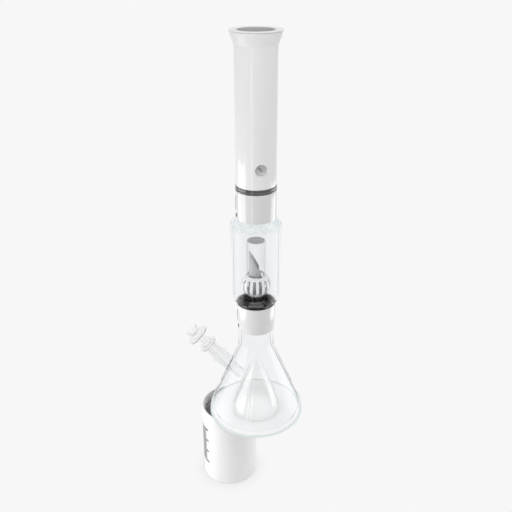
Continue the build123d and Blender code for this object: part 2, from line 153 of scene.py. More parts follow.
# ---- drawing and turning ------------------------------------------------
def rounded(corners, arc_steps=6):
    """Points through the corners (r, z, bend); a corner with a bend becomes an arc."""
    points = []
    count = len(corners)
    for i, corner in enumerate(corners):
        here = Vector(corner[:2])
        bend = corner[2] if len(corner) > 2 else 0
        if not bend:
            points.append(here)
            continue
        to_last = (Vector(corners[i - 1][:2]) - here).normalized()
        to_next = (Vector(corners[(i + 1) % count][:2]) - here).normalized()
        half = to_last.angle(to_next) / 2
        start = here + to_last * (bend / math.tan(half))
        end = here + to_next * (bend / math.tan(half))
        centre = here + (to_last + to_next).normalized() * (bend / math.sin(half))
        for k in range(arc_steps + 1):
            blend = start.lerp(end, k / arc_steps) - centre
            points.append(centre + blend.normalized() * bend)
    return points


def divided(points, longest):
    """The same line with no run longer than that."""
    result = [points[0]]
    for last, here in zip(points, points[1:]):
        parts = max(1, math.ceil((here - last).length / longest))
        result += [last.lerp(here, k / parts) for k in range(1, parts + 1)]
    return result


def draw(name, points, closed):
    """Draws a section in the XZ plane, one extruded corner after another."""
    bpy.ops.mesh.primitive_plane_add(size=1 * MM)
    obj = bpy.context.object
    obj.name = obj.data.name = name
    bpy.ops.object.mode_set(mode="EDIT")
    bpy.ops.mesh.select_all(action="SELECT")
    bpy.ops.mesh.merge(type="CENTER")
    bpy.ops.transform.translate(value=(points[0][0], 0, points[0][1]))
    for last, here in zip(points, points[1:]):
        step = (here[0] - last[0], 0, here[1] - last[1])
        bpy.ops.mesh.extrude_region_move(TRANSFORM_OT_translate={"value": step})
    if closed:
        shape = bmesh.from_edit_mesh(obj.data)
        ends = [v for v in shape.verts if len(v.link_edges) == 1]
        for v in shape.verts:
            v.select_set(v in ends)
        shape.select_flush_mode()
        bpy.ops.mesh.edge_face_add()
    return obj


def close_up():
    """Merges doubles and turns every face outwards. Edit mode is left."""
    bpy.ops.mesh.select_all(action="SELECT")
    bpy.ops.mesh.remove_doubles(threshold=0.01 * MM)
    bpy.ops.mesh.normals_make_consistent(inside=False)
    bpy.ops.object.mode_set(mode="OBJECT")


def cap_ends():
    """Fills the open ends of the mesh in edit mode, then closes it up."""
    bpy.ops.mesh.select_mode(type="VERT")
    bpy.ops.mesh.select_all(action="DESELECT")
    bpy.ops.mesh.select_non_manifold()
    bpy.ops.mesh.edge_face_add()
    close_up()


def settle(obj, place=None):
    """Puts the piece at its place with its transforms in the mesh, and smooths it."""
    if place is not None:
        obj.matrix_world = place
    bpy.ops.object.select_all(action="DESELECT")
    obj.select_set(True)
    bpy.context.view_layer.objects.active = obj
    bpy.ops.object.transform_apply(location=True, rotation=True, scale=True)
    bpy.ops.object.shade_smooth_by_angle(angle=math.radians(38))
    obj.select_set(False)
    return obj


def turned(name, points, place, steps=TURN_STEPS, closed=True):
    """A piece turned on a lathe: the section spun round Z, then put at its place."""
    obj = draw(name, points, closed)
    bpy.ops.mesh.select_all(action="SELECT")
    bpy.ops.mesh.spin(steps=steps, angle=math.tau, center=(0, 0, 0), axis=(0, 0, 1))
    close_up()
    return settle(obj, place)


def thread(name, crest_r, root_r, low, pitch, place):
    """One helical ridge: a small tooth drawn at its root, then screwed upwards."""
    half_width = pitch * 0.42
    half_crest = half_width * 0.3
    middle_z = low + half_width
    tooth = [
        Vector((root_r, low)), Vector((crest_r, middle_z - half_crest)),
        Vector((crest_r, middle_z + half_crest)), Vector((root_r, low + 2 * half_width)),
    ]
    obj = draw(name, tooth, closed=True)
    bpy.ops.object.mode_set(mode="OBJECT")
    screw = obj.modifiers.new("thread", "SCREW")
    screw.axis = "Z"
    screw.screw_offset = pitch
    screw.iterations = THREAD_TURNS
    screw.steps = screw.render_steps = THREAD_STEPS
    screw.use_merge_vertices = False
    bpy.ops.object.modifier_apply(modifier="thread")
    bpy.ops.object.mode_set(mode="EDIT")
    cap_ends()
    return settle(obj, place)


def cut(obj, tool, how="DIFFERENCE"):
    """A boolean that is applied at once; the tool is thrown away."""
    step = obj.modifiers.new("cut", "BOOLEAN")
    step.operation = how
    step.solver = "EXACT"
    step.object = tool
    bpy.ops.object.select_all(action="DESELECT")
    bpy.context.view_layer.objects.active = obj
    bpy.ops.object.modifier_apply(modifier="cut")
    bpy.data.objects.remove(tool)


# ---- materials ----------------------------------------------------------
def add_node(tree, kind, **settings):
    """A new node in the tree, with its own settings."""
    node = tree.nodes.new(kind)
    for key, value in settings.items():
        setattr(node, key, value)
    return node


def coat_material(name, colour, roughness, mottle=0.02, scale=120, **sockets):
    """Opaque finish: a plain colour with a very faint mottle in it."""
    material = bpy.data.materials.new(name)
    material.use_nodes = True
    tree = material.node_tree
    shader = tree.nodes["Principled BSDF"]
    place = add_node(tree, "ShaderNodeTexCoord")
    noise = add_node(tree, "ShaderNodeTexNoise")
    noise.inputs["Scale"].default_value = scale
    ramp = add_node(tree, "ShaderNodeValToRGB")
    ramp.color_ramp.elements[0].color = (*[c * (1 - mottle) for c in colour], 1)
    ramp.color_ramp.elements[1].color = (*colour, 1)
    tree.links.new(place.outputs["Object"], noise.inputs["Vector"])
    tree.links.new(noise.outputs["Fac"], ramp.inputs["Fac"])
    tree.links.new(ramp.outputs["Color"], shader.inputs["Base Color"])
    shader.inputs["Roughness"].default_value = roughness
    for socket, value in sockets.items():
        shader.inputs[socket.replace("_", " ")].default_value = value
    return material


def glass_material(name, clear, edge, ior, roughness=0.0, coat=0.3):
    """Thin clear glass: almost no tint face on, a tint edge on, and a hard gloss on top."""
    material = bpy.data.materials.new(name)
    material.use_nodes = True
    tree = material.node_tree
    shader = tree.nodes["Principled BSDF"]
    facing = add_node(tree, "ShaderNodeLayerWeight")
    facing.inputs["Blend"].default_value = 0.35
    ramp = add_node(tree, "ShaderNodeValToRGB")
    ramp.color_ramp.elements[0].position = 0.08
    ramp.color_ramp.elements[0].color = (*clear, 1)
    ramp.color_ramp.elements[1].position = 0.4
    ramp.color_ramp.elements[1].color = (*edge, 1)
    tree.links.new(facing.outputs["Facing"], ramp.inputs["Fac"])
    tree.links.new(ramp.outputs["Color"], shader.inputs["Base Color"])
    shader.inputs["Roughness"].default_value = roughness
    shader.inputs["IOR"].default_value = ior
    shader.inputs["Coat Weight"].default_value = coat
    shader.inputs["Transmission Weight"].default_value = 1.0
    return material


def fade(tree, value, start, end):
    """0 where the value is at the start or before it, 1 where it is at the end or past it."""
    ramp = add_node(tree, "ShaderNodeMapRange")
    ramp.inputs["From Min"].default_value = start
    ramp.inputs["From Max"].default_value = end
    tree.links.new(value, ramp.inputs["Value"])
    return ramp.outputs["Result"]


def height_in(tree):
    """The level of each point of the piece."""
    place = add_node(tree, "ShaderNodeTexCoord")
    split = add_node(tree, "ShaderNodeSeparateXYZ")
    tree.links.new(place.outputs["Object"], split.inputs[0])
    return split.outputs["Z"]


def recoloured(material, amount, colour):
    """Turns the finish to the other colour where the amount is 1."""
    tree = material.node_tree
    shader = tree.nodes["Principled BSDF"]
    tint = add_node(tree, "ShaderNodeMix", data_type="RGBA")
    tint.inputs["B"].default_value = (*colour, 1)
    plain = shader.inputs["Base Color"].links[0].from_socket
    tree.links.new(amount, tint.inputs["Factor"])
    tree.links.new(plain, tint.inputs["A"])
    tree.links.new(tint.outputs["Result"], shader.inputs["Base Color"])
    return material


def other_below(material, height, colour):
    """The finish turns to the other colour below that height on the pipe, in millimetres."""
    tree = material.node_tree
    below = fade(tree, height_in(tree), level(height + 1), level(height - 1))
    return recoloured(material, below, colour)


def other_inside(material, reach, colour):
    """The finish turns to the other colour nearer to the pipe's axis than that, in millimetres."""
    tree = material.node_tree
    place = add_node(tree, "ShaderNodeTexCoord")
    across = add_node(tree, "ShaderNodeVectorMath", operation="MULTIPLY_ADD")
    across.inputs[1].default_value = (1, 1, 0)
    across.inputs[2].default_value = (-pipe.x, -pipe.y, 0)
    length = add_node(tree, "ShaderNodeVectorMath", operation="LENGTH")
    tree.links.new(place.outputs["Object"], across.inputs[0])
    tree.links.new(across.outputs[0], length.inputs[0])
    inside = fade(tree, length.outputs["Value"], (reach + 0.3) * MM, (reach - 0.3) * MM)
    return recoloured(material, inside, colour)


def streaked_above(material, height, colour):
    """Uneven tinted streaks above that height on the pipe, as where thick glass was fused."""
    tree = material.node_tree
    place = add_node(tree, "ShaderNodeTexCoord")
    waves = add_node(tree, "ShaderNodeTexNoise")
    waves.inputs["Scale"].default_value = 140
    waves.inputs["Distortion"].default_value = 1.5
    streaks = add_node(tree, "ShaderNodeValToRGB")
    streaks.color_ramp.elements[0].position = 0.47
    streaks.color_ramp.elements[1].position = 0.6
    amount = add_node(tree, "ShaderNodeMath", operation="MULTIPLY")
    above = fade(tree, height_in(tree), level(height), level(height + 3))
    tree.links.new(place.outputs["Object"], waves.inputs["Vector"])
    tree.links.new(waves.outputs["Fac"], streaks.inputs["Fac"])
    tree.links.new(above, amount.inputs[0])
    tree.links.new(streaks.outputs["Color"], amount.inputs[1])
    return recoloured(material, amount.outputs[0], colour)


WHITE_COAT = coat_material("white_coat", (0.92, 0.92, 0.915), 0.18, Coat_Weight=0.5)
WHITE_PLASTIC = coat_material("white_plastic", (0.80, 0.80, 0.795), 0.12, Coat_Weight=0.6)
BLACK_PLASTIC = coat_material("black_plastic", (0.025, 0.025, 0.025), 0.1, Coat_Weight=1.0)
BLACK_SEAL = coat_material("black_seal", (0.2, 0.2, 0.2), 0.3)
BLACK_PRINT = coat_material("black_print", (0.015, 0.015, 0.015), 0.35)
STEEL_MESH = coat_material("steel_mesh", (0.8, 0.8, 0.81), 0.35, Metallic=0.6)
# painted light: at the lower joint the black insert's shelf and the bore under it are painted grey,
# as light falling on the shelf
INSERT_PAINTED_LIT_SHELF = other_below(
    coat_material("insert_plastic", (0.025, 0.025, 0.025), 0.1, Coat_Weight=1.0),
    LOWER_JOINT + 32.3, (0.13, 0.13, 0.13),
)
# painted glints: the threads inside the black inserts are painted mid grey, as highlights on their
# crests
RIDGE_PAINTED_GLINT = coat_material("ridge_plastic", (0.5, 0.5, 0.5), 0.1, Coat_Weight=1.0)

# opal glass: white outside, with painted shade in the bore
OPAL_BORE, OPAL_SHADE = 22.3, (0.6, 0.6, 0.605)
OPAL_GLASS = other_inside(
    coat_material("opal_glass", (0.93, 0.93, 0.93), 0.1, scale=40, Coat_Weight=0.5),
    OPAL_BORE, OPAL_SHADE,
)
OPAL_RIM = other_inside(
    coat_material("opal_rim", (0.93, 0.93, 0.93), 0.3, scale=40, Coat_Weight=0.1),
    OPAL_BORE, OPAL_SHADE,
)

# clear glass: the heel of the flask has no tint, and the chamber's shoulder has streaks
FLASK_GLASS = other_below(
    glass_material("flask_glass", (0.975, 0.98, 0.983), (0.955, 0.968, 0.975), ior=1.022),
    FLASK_FLOOR + 1, (1, 1, 1),
)
CONE_GLASS = glass_material("cone_glass", (1, 1, 1), (0.992, 0.992, 0.992), ior=1.015, coat=1.0)
CHAMBER_GLASS = streaked_above(
    glass_material(
        "chamber_glass", (0.945, 0.95, 0.96), (0.94, 0.95, 0.96), ior=1.022, coat=0.12,
    ),
    UPPER_JOINT - 13, (0.78, 0.86, 0.86),
)
STEM_GLASS = glass_material("stem_glass", (0.98, 0.98, 0.98), (0.90, 0.905, 0.91), ior=1.05)
CLEAR_RING = glass_material("clear_ring", (0.99, 0.99, 0.99), (0.975, 0.98, 0.985), ior=1.02)
CLEAR_SEAL = glass_material(
    "clear_seal", (0.98, 0.98, 0.98), (0.95, 0.95, 0.95), ior=1.02, roughness=0.2,
)

# the percolator: a clear cap with a grey disc, a grey riser with its foot painted near black as
# shade, and a pearly lantern with its lower bowl painted grey as shade
CAP_GLASS = glass_material("cap_glass", (0.99, 0.99, 0.99), (0.80, 0.81, 0.82), ior=1.03)
DARK_GLASS = coat_material("dark_glass", (0.33, 0.335, 0.34), 0.08, Coat_Weight=1.0)
RISER_GREY_FOOT_SHADE = other_below(
    coat_material(
        "smoke_glass", (0.55, 0.555, 0.56), 0.05, Coat_Weight=0.5, Transmission_Weight=0.3,
        IOR=1.05,
    ),
    # painted shade: the riser's foot goes near black
    LANTERN_FOOT - 1, (0.04, 0.04, 0.04),
)
PEARL_GLASS_FOOT_SHADE = other_below(
    coat_material(
        "pearl_glass", (0.9, 0.9, 0.9), 0.06, Coat_Weight=1.0, Transmission_Weight=0.3, IOR=1.05,
    ),
    # painted shade: the lantern's lower bowl goes grey
    LANTERN_FOOT + 6, (0.50, 0.50, 0.505),
)

# the frosted floor of the flask: white, with a tinted edge
FROSTING = other_inside(
    coat_material("frosted_white", (0.76, 0.815, 0.825), 0.6, mottle=0.005),
    61, (0.985, 0.985, 0.985),
)


def finish(obj, material, body, material_slot, *nodes):
    """Gives a piece its material and its body, and hides the CAD nodes that it stands for."""
    obj.data.materials.clear()
    obj.data.materials.append(material)
    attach(obj, body)
    if nodes:
        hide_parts(*nodes)


# ---- cup ----------------------------------------------------------------
def make_cup():
    """A deep white cup; its wall is thinner along the thread at its mouth."""
    outer, rim = radius("stand_cup"), top("stand_cup")
    floor = 6 * MM
    inner = outer - 3.5 * MM
    thread_root = inner + 1 * MM
    thread_foot = rim - 18 * MM
    shell = rounded([
        (0, 0), (outer, 0, 2 * MM), (outer, rim, 0.8 * MM), (thread_root, rim, 0.8 * MM),
        (thread_root, thread_foot), (inner, thread_foot - 1 * MM), (inner, floor, 4 * MM),
        (0, floor),
    ])
    cup = turned("cup_shell", shell, Matrix.Identity(4), closed=False)
    finish(cup, WHITE_COAT, "stand", "white_coat", "stand_cup")
    ridge = thread(
        "cup_thread", inner - 0.4 * MM, thread_root, thread_foot + 2.5 * MM, pitch=4 * MM,
        place=Matrix.Identity(4),
    )
    finish(ridge, WHITE_COAT, "stand", "white_coat")


# ---- flask --------------------------------------------------------------
def bulged(start, end, bulge, steps=24):
    """Points along a shallow arc from start to end that stands out by the bulge."""
    start, end = Vector(start), Vector(end)
    run = end - start
    side = Vector((run.y, -run.x)).normalized()
    half = run.length / 2
    arc_r = (half * half + bulge * bulge) / (2 * bulge)
    centre = (start + end) / 2 + side * (bulge - arc_r)
    spread = math.asin(half / arc_r)
    along = run.normalized()
    points = []
    for k in range(steps + 1):
        turn = spread * (2 * k / steps - 1)
        points.append(centre + side * arc_r * math.cos(turn) + along * arc_r * math.sin(turn))
    return points


def make_flask():
    """The blown body and its side socket are joined, then hollowed and bored."""
    neck_top, foot_r = LOWER_JOINT + SEAT, 65.6
    outside = section(
        (0, 0), (foot_r, 0, 3.8), (foot_r, 5, 3), (64, 14, 8), (SHOULDER_R, 109.7, 40),
        (SHOULDER_R, LOWER_JOINT), (NECK_R, LOWER_JOINT), (NECK_R, neck_top), (0, neck_top),
    )
    inside = section(
        (0, FLASK_FLOOR), (58.5, FLASK_FLOOR, 3), (60.2, 14, 5), (NECK_BORE, 111.1, 40),
        (NECK_BORE, neck_top + 3), (0, neck_top + 3),
    )
    glass = turned("flask_glass", divided(rounded(outside, 8), 4 * MM), on_pipe, closed=False)
    hollow = turned("flask_hollow", divided(rounded(inside, 8), 4 * MM), on_pipe, closed=False)

    mouth, end, joint_end, hole_end = (
        SCREEN * MM - at * MM for at in (SOCKET_MOUTH, SOCKET_END, JOINT_END, HOLE_END)
    )
    lip_r, socket_r = 12.2 * MM, 11 * MM
    socket_outside = [
        (0, mouth), (lip_r, mouth, 1.2 * MM), (lip_r, mouth - 3 * MM, 1.2 * MM),
        (socket_r, mouth - 4.5 * MM, 2 * MM), (socket_r, end), (0, end),
    ]
    socket = turned(
        "flask_socket", divided(rounded(socket_outside), 2 * MM), on_stem,
        steps=SMALL_TURN_STEPS, closed=False,
    )
    ground_r, taper = 9.08, 0.036
    hole_r = (ground_r - (JOINT_END - SOCKET_MOUTH) * taper) * MM
    ground_joint = [
        Vector(point) for point in (
            (0, mouth + 1 * MM), (9.1 * MM, mouth + 1 * MM), (ground_r * MM, mouth),
            (hole_r, joint_end), (hole_r, hole_end), (0, hole_end),
        )
    ]
    bore = turned("flask_bore", ground_joint, on_stem, steps=SMALL_TURN_STEPS, closed=False)
    cut(glass, socket, "UNION")
    cut(glass, hollow)
    cut(glass, bore)
    settle(glass)
    finish(glass, FLASK_GLASS, "flask_body", "clear_glass", "flask")

    frosted_r, frosted_low, frosted_high = 65.2, 3.8, 4.1
    frosting = turned(
        "flask_frosted_floor",
        section(
            (0, frosted_low), (frosted_r, frosted_low), (frosted_r, frosted_high),
            (0, frosted_high),
        ),
        on_pipe, closed=False,
    )
    finish(frosting, FROSTING, "flask_body", "opal_glass")


def make_inner_cone():
    """A hollow cone on the flask's floor, with slightly bellied sides and a round tip."""
    foot, tip_r, tip_height, bulge = FLASK_FLOOR + 0.05, 3.0, 88, 1.5
    foot_r, wall, hollow_top = 35.7, 3, 85
    tip = rounded(section((tip_r, tip_height), (2.6, 91.0, 2.2), (0, 91.0)), 8)[1:]
    outer = bulged((foot_r * MM, level(foot)), (tip_r * MM, level(tip_height)), bulge * MM)
    inner = bulged(
        ((foot_r - wall) * MM, level(foot)), (0.4 * MM, level(hollow_top)), bulge * MM,
    )
    line = [Vector((0, level(hollow_top)))] + inner[::-1] + outer + tip
    cone = turned("cone_glass", line, on_pipe, closed=False)
    finish(cone, CONE_GLASS, "flask_body", "clear_glass", "inner_cone")


# ---- threaded joints ----------------------------------------------------
def make_collar(name, foot, foot_r, top_r, lip, node, body):
    """A white sleeve; with a lip it also wraps the insert's flange."""
    seat, rim = foot + SEAT, foot + SLEEVE_TOP
    neck_r, insert_r = NECK_R + 0.1, INSERT_R + 0.2
    corners = section((neck_r, foot), (foot_r, foot, 0.8), (top_r, rim + lip, 0.5))
    if lip:
        corners += section((top_r - 1.1, rim + lip, 0.4), (top_r - 1.1, rim))
    corners += section((insert_r, rim), (insert_r, seat), (neck_r, seat))
    collar = turned(name, rounded(corners), on_pipe)
    finish(collar, WHITE_PLASTIC, body, "white_plastic", node)


def make_insert(name, foot, flange_r, node, body):
    """A black insert that stands on the glass neck, with a flange over the sleeve's rim."""
    seat, rim, face = foot + SEAT, foot + SLEEVE_TOP + GAP, foot + SEAL_FOOT
    bore, thread_r, ledge = 13, 21.4, seat + 3
    corners = section(
        (bore, seat), (INSERT_R, seat), (INSERT_R, rim), (flange_r, rim, 0.3),
        (flange_r, face, 0.5), (thread_r, face, 0.4), (thread_r, ledge, 0.5), (bore, ledge, 0.8),
    )
    insert = turned(name, rounded(corners), on_pipe)
    finish(insert, INSERT_PAINTED_LIT_SHELF, body, "black_plastic", node)
    ridge = thread(
        name + "_thread", 20.4 * MM, (thread_r + 0.2) * MM, level(ledge + 0.4), pitch=2 * MM,
        place=on_pipe,
    )
    finish(ridge, RIDGE_PAINTED_GLINT, body, "black_plastic")


def make_gasket(name, foot, outer_r, material, material_slot, node, body):
    """A flat seal between the insert's flange and the thread ring's."""
    low, high, inner_r = foot + SEAL_FOOT + 0.03, foot + SEAL_TOP - 0.03, 20.7
    corners = section((inner_r, low), (outer_r, low, 0.35), (outer_r, high, 0.35), (inner_r, high))
    gasket = turned(name, rounded(corners, 4), on_pipe)
    finish(gasket, material, body, material_slot, node)


def make_thread_ring(name, foot, flange_r, material, material_slot, node, body):
    """The male ring on the foot of the glass above, with its own thread."""
    tip, flange, flange_top = foot + 31.6, foot + SEAL_TOP, foot + SEAL_TOP + 3 - GAP
    bore, thread_r = SPIGOT_R + 0.1, 19.1
    corners = section(
        (bore, tip), (thread_r, tip, 0.6), (thread_r, flange), (flange_r, flange, 0.4),
        (flange_r, flange_top, 0.6), (bore, flange_top),
    )
    ring = turned(name, rounded(corners), on_pipe)
    finish(ring, material, body, material_slot, node)
    ridge = thread(
        name + "_thread", 20.2 * MM, (thread_r - 0.2) * MM, level(tip + 0.8), pitch=2 * MM,
        place=on_pipe,
    )
    finish(ridge, material, body, material_slot)


# ---- printed marks ------------------------------------------------------
PRINT_SUNK, PRINT_PROUD = 0.05, 0.08    # millimetres under and over the wall


def printed(name, outline, bearing, sweep, place, body):
    """A thin mark on a round wall: its upright section is swept on from a bearing, in degrees."""
    mark = draw(name, outline, closed=True)
    bpy.ops.mesh.select_all(action="SELECT")
    # spin turns clockwise seen from above, so a negative angle sweeps counter-clockwise
    bpy.ops.mesh.spin(
        steps=max(2, round(sweep / 4)), angle=-math.radians(sweep), center=(0, 0, 0),
        axis=(0, 0, 1),
    )
    cap_ends()
    settle(mark, place @ Matrix.Rotation(math.radians(bearing), 4, "Z"))
    finish(mark, BLACK_PRINT, body, "black_plastic")


def make_scale():
    """A plain level scale on the cup, facing -X: short and long bars one above the other."""
    wall = radius("stand_cup")
    under, over = wall - PRINT_SUNK * MM, wall + PRINT_PROUD * MM
    first_height, spacing, bar_height = 28, 5, 3.2 * MM
    bearing, long_sweep, short_sweep = 189, 31, 23
    for k in range(13):
        sweep = long_sweep if k % 4 == 0 else short_sweep
        low = (first_height + spacing * k) * MM
        bar = [
            Vector((under, low)), Vector((over, low)), Vector((over, low + bar_height)),
            Vector((under, low + bar_height)),
        ]
        printed(f"cup_bar_{k:02d}", bar, bearing, sweep, Matrix.Identity(4), "stand")


def make_collar_marks(name, foot, foot_r, top_r, body):
    """A hairline and a short block that line the screwed joint up, facing -X."""
    slope = (top_r - foot_r) / SLEEVE_TOP

    def strip(low, high):
        low_r, high_r = foot_r + slope * low, foot_r + slope * high
        return section(
            (low_r - PRINT_SUNK, foot + low), (low_r + PRINT_PROUD, foot + low),
            (high_r + PRINT_PROUD, foot + high), (high_r - PRINT_SUNK, foot + high),
        )

    printed(name + "_line", strip(13, 30), 194, 4, on_pipe, body)
    printed(name + "_block", strip(4, 8.5), 193, 12, on_pipe, body)


# ---- percolator chamber -------------------------------------------------
def make_chamber():
    """A clear cylinder with a round foot and shoulder, a spigot below and a neck above."""
    wall_r, inner_r = 31.7, 28.5
    spigot_foot, floor = CHAMBER_FOOT - 10, CHAMBER_FOOT + 4
    shoulder, neck_top = UPPER_JOINT - 2, UPPER_JOINT + SEAT
    ceiling = shoulder - 3.2
    riser_hole_r = 7.6
    corners = section(
        (SPIGOT_BORE, spigot_foot), (SPIGOT_R, spigot_foot, 0.8), (SPIGOT_R, CHAMBER_FOOT),
        (wall_r, CHAMBER_FOOT, 8), (wall_r, shoulder, 7.5), (SHOULDER_R, shoulder, 0.5),
        (SHOULDER_R, UPPER_JOINT), (NECK_R, UPPER_JOINT), (NECK_R, neck_top),
        (NECK_BORE, neck_top), (NECK_BORE, ceiling, 1), (inner_r, ceiling, 4.5),
        (inner_r, floor, 5), (riser_hole_r, floor), (riser_hole_r, CHAMBER_FOOT),
        (SPIGOT_BORE, CHAMBER_FOOT),
    )
    glass = turned("chamber_glass", rounded(corners, 10), on_pipe)
    finish(glass, CHAMBER_GLASS, "chamber_body", "clear_glass", "chamber")


def make_riser():
    """The inner tube: a notch and a slanting cut leave a pointed tongue inside the cap."""
    foot, floor, foot_top = CHAMBER_FOOT - 3, CHAMBER_FOOT + 4 + GAP, LANTERN_FOOT - GAP
    foot_r, stem_r, stem_bore = 9.6, 7.5, 5.7
    tube_r, tube_bore, uncut_top = 9.7, 7.9, 260
    corners = section(
        (stem_bore, foot), (stem_r, foot), (stem_r, floor), (foot_r, floor),
        (foot_r, foot_top, 0.6), (stem_r, foot_top), (stem_r, 208), (tube_r, 213),
        (tube_r, uncut_top), (tube_bore, uncut_top), (tube_bore, 213.5), (stem_bore, 208.5),
    )
    riser = turned("riser_glass", rounded(corners), on_pipe, steps=SMALL_TURN_STEPS)
    bpy.ops.mesh.primitive_cube_add(size=20 * MM)
    notch = bpy.context.object
    notch.matrix_world = Matrix.Translation((pipe.x + 14.3 * MM, pipe.y, level(222.8)))
    cut(riser, notch)
    slant = math.atan2(26, 15)
    bpy.ops.object.select_all(action="DESELECT")
    bpy.context.view_layer.objects.active = riser
    bpy.ops.object.mode_set(mode="EDIT")
    bpy.ops.mesh.select_all(action="SELECT")
    bpy.ops.mesh.bisect(
        plane_co=(pipe.x - 1 * MM, pipe.y, level(236)),
        plane_no=(math.sin(slant), 0, math.cos(slant)), use_fill=True, clear_outer=True,
    )
    close_up()
    settle(riser)
    finish(riser, RISER_GREY_FOOT_SHADE, "chamber_body", "clear_glass", "percolator_riser")


def make_lantern():
    """The slotted bulb: its wall is turned as one skin, slots are opened, then it is thickened."""
    slots, faces_per_slot, open_share = 14, 10, 0.5
    slot_low, slot_high = level(LANTERN_FOOT + 4), level(CAP_FOOT - 3.5)
    foot_r, bulge = 11.5, 7.6
    foot_level = level(LANTERN_FOOT + GAP)
    foot = [Vector((r * MM, foot_level)) for r in (7.6, 9.5, foot_r)]
    belly = bulged((foot_r * MM, foot_level), (12 * MM, level(CAP_FOOT)), bulge * MM, steps=30)
    lantern = turned(
        "lantern_glass", foot + belly[1:], on_pipe, steps=slots * faces_per_slot, closed=False,
    )
    bpy.context.view_layer.objects.active = lantern
    bpy.ops.object.mode_set(mode="EDIT")
    shape = bmesh.from_edit_mesh(lantern.data)
    slot_turn = math.tau / slots
    for face in shape.faces:
        spot = face.calc_center_median()
        turn = math.atan2(spot.y - pipe.y, spot.x - pipe.x) % slot_turn
        face.select_set(turn < slot_turn * open_share and slot_low < spot.z < slot_high)
    bmesh.update_edit_mesh(lantern.data)
    bpy.ops.mesh.delete(type="FACE")
    bpy.ops.object.mode_set(mode="OBJECT")
    wall = lantern.modifiers.new("wall", "SOLIDIFY")
    wall.thickness = 2 * MM
    wall.offset = -1
    edge = lantern.modifiers.new("edge", "BEVEL")
    edge.width = 0.4 * MM
    edge.segments = 2
    edge.limit_method = "ANGLE"
    edge.angle_limit = math.radians(50)
    for step in ("wall", "edge"):
        bpy.ops.object.modifier_apply(modifier=step)
    settle(lantern)
    finish(lantern, PEARL_GLASS_FOOT_SHADE, "chamber_body", "clear_glass", "percolator_lantern")


def make_cap():
    """A closed tube on the lantern, with a grey disc let into its end."""
    foot, recess, inner_r, outer_r, recess_r = CAP_FOOT + GAP, CAP_TOP - 0.6, 10, 12, 11
    ceiling = recess - 1.3
    corners = section(
        (inner_r, foot), (outer_r, foot, 0.6), (outer_r, CAP_TOP, 0.8), (recess_r, CAP_TOP, 0.3),
        (recess_r, recess), (0, recess), (0, ceiling), (inner_r, ceiling, 1),
    )
    cap = turned("cap_glass", rounded(corners), on_pipe, closed=False)
    finish(cap, CAP_GLASS, "chamber_body", "clear_glass", "percolator_cap")
    disc_r, disc_foot, disc_top = recess_r - 0.1, recess + GAP, recess + 0.4
    corners = section((0, disc_foot), (disc_r, disc_foot), (disc_r, disc_top, 0.2), (0, disc_top))
    disc = turned("cap_disc", rounded(corners), on_pipe, closed=False)
    finish(disc, DARK_GLASS, "chamber_body", "clear_glass")


# ---- mouthpiece ---------------------------------------------------------
def press_pinch(tube, turn):
    """One ice pinch: the wall is divided finely, dented, and creased across the dent."""
    out = Vector((math.cos(turn), math.sin(turn), 0))
    along = Vector((-out.y, out.x, 0))
    spot = Vector((pipe.x, pipe.y, level(PINCH_HEIGHT))) + out * TUBE_R * MM
    dent, crease = 6 * MM, 3.2 * MM
    crease_length, crease_width = 6 * MM, 0.8 * MM

    def select(kind, wanted):
        shape = bmesh.from_edit_mesh(tube.data)
        for v in shape.verts:
            v.select_set(False)
        shape.select_flush(False)
        for part in getattr(shape, kind):
            part.select_set(wanted(part))
        shape.select_flush_mode()
        bmesh.update_edit_mesh(tube.data)

    # the wall gets finer in three steps towards the dent
    bpy.ops.mesh.select_mode(type="FACE")
    for reach, cuts in ((10 * MM, 1), (7.5 * MM, 2), (5 * MM, 1)):
        select("faces", lambda f: (f.calc_center_median() - spot).length < reach)
        bpy.ops.mesh.subdivide(number_cuts=cuts)
    bpy.ops.mesh.select_mode(type="VERT")
    select("verts", lambda v: (v.co - spot).length < 1.2 * MM)
    bpy.ops.transform.translate(
        value=-out * dent, use_proportional_edit=True,
        proportional_edit_falloff="SPHERE", proportional_size=6.3 * MM,
    )

    def in_crease(v):
        place = v.co - spot
        across, up = place.dot(along), place.z
        run, side = (across - up) / math.sqrt(2), (across + up) / math.sqrt(2)
        near = abs(run) < crease_length / 2 and abs(side) < crease_width / 2
        return near and place.dot(out) > -1.1 * dent

    select("verts", in_crease)
    bpy.ops.transform.translate(
        value=-out * crease, use_proportional_edit=True,
        proportional_edit_falloff="SHARP", proportional_size=1.6 * MM,
    )


def make_mouth_tube():
    """The straight opal tube, with three ice pinches a third of a turn apart."""
    spigot_foot, floor = TUBE_FOOT - 10, TUBE_FOOT + 3
    corners = section(
        (SPIGOT_BORE, spigot_foot), (SPIGOT_R, spigot_foot, 0.6), (SPIGOT_R, TUBE_FOOT),
        (TUBE_R, TUBE_FOOT, 1), (TUBE_R, FLARE_FOOT - 8), (TUBE_R + 0.15, FLARE_FOOT - 4),
        (TUBE_R + 0.4, FLARE_FOOT), (TUBE_BORE, FLARE_FOOT), (TUBE_BORE, floor, 2),
        (SPIGOT_BORE, floor),
    )
    tube = turned("mouth_tube", divided(rounded(corners), 2.5 * MM), on_pipe)
    bpy.context.view_layer.objects.active = tube
    bpy.ops.object.mode_set(mode="EDIT")
    for angle in (-75, 45, 165):
        press_pinch(tube, math.radians(angle))
    bpy.ops.object.mode_set(mode="OBJECT")
    settle(tube)
    finish(tube, OPAL_GLASS, "mouthpiece_body", "opal_glass", "mouthpiece_tube")


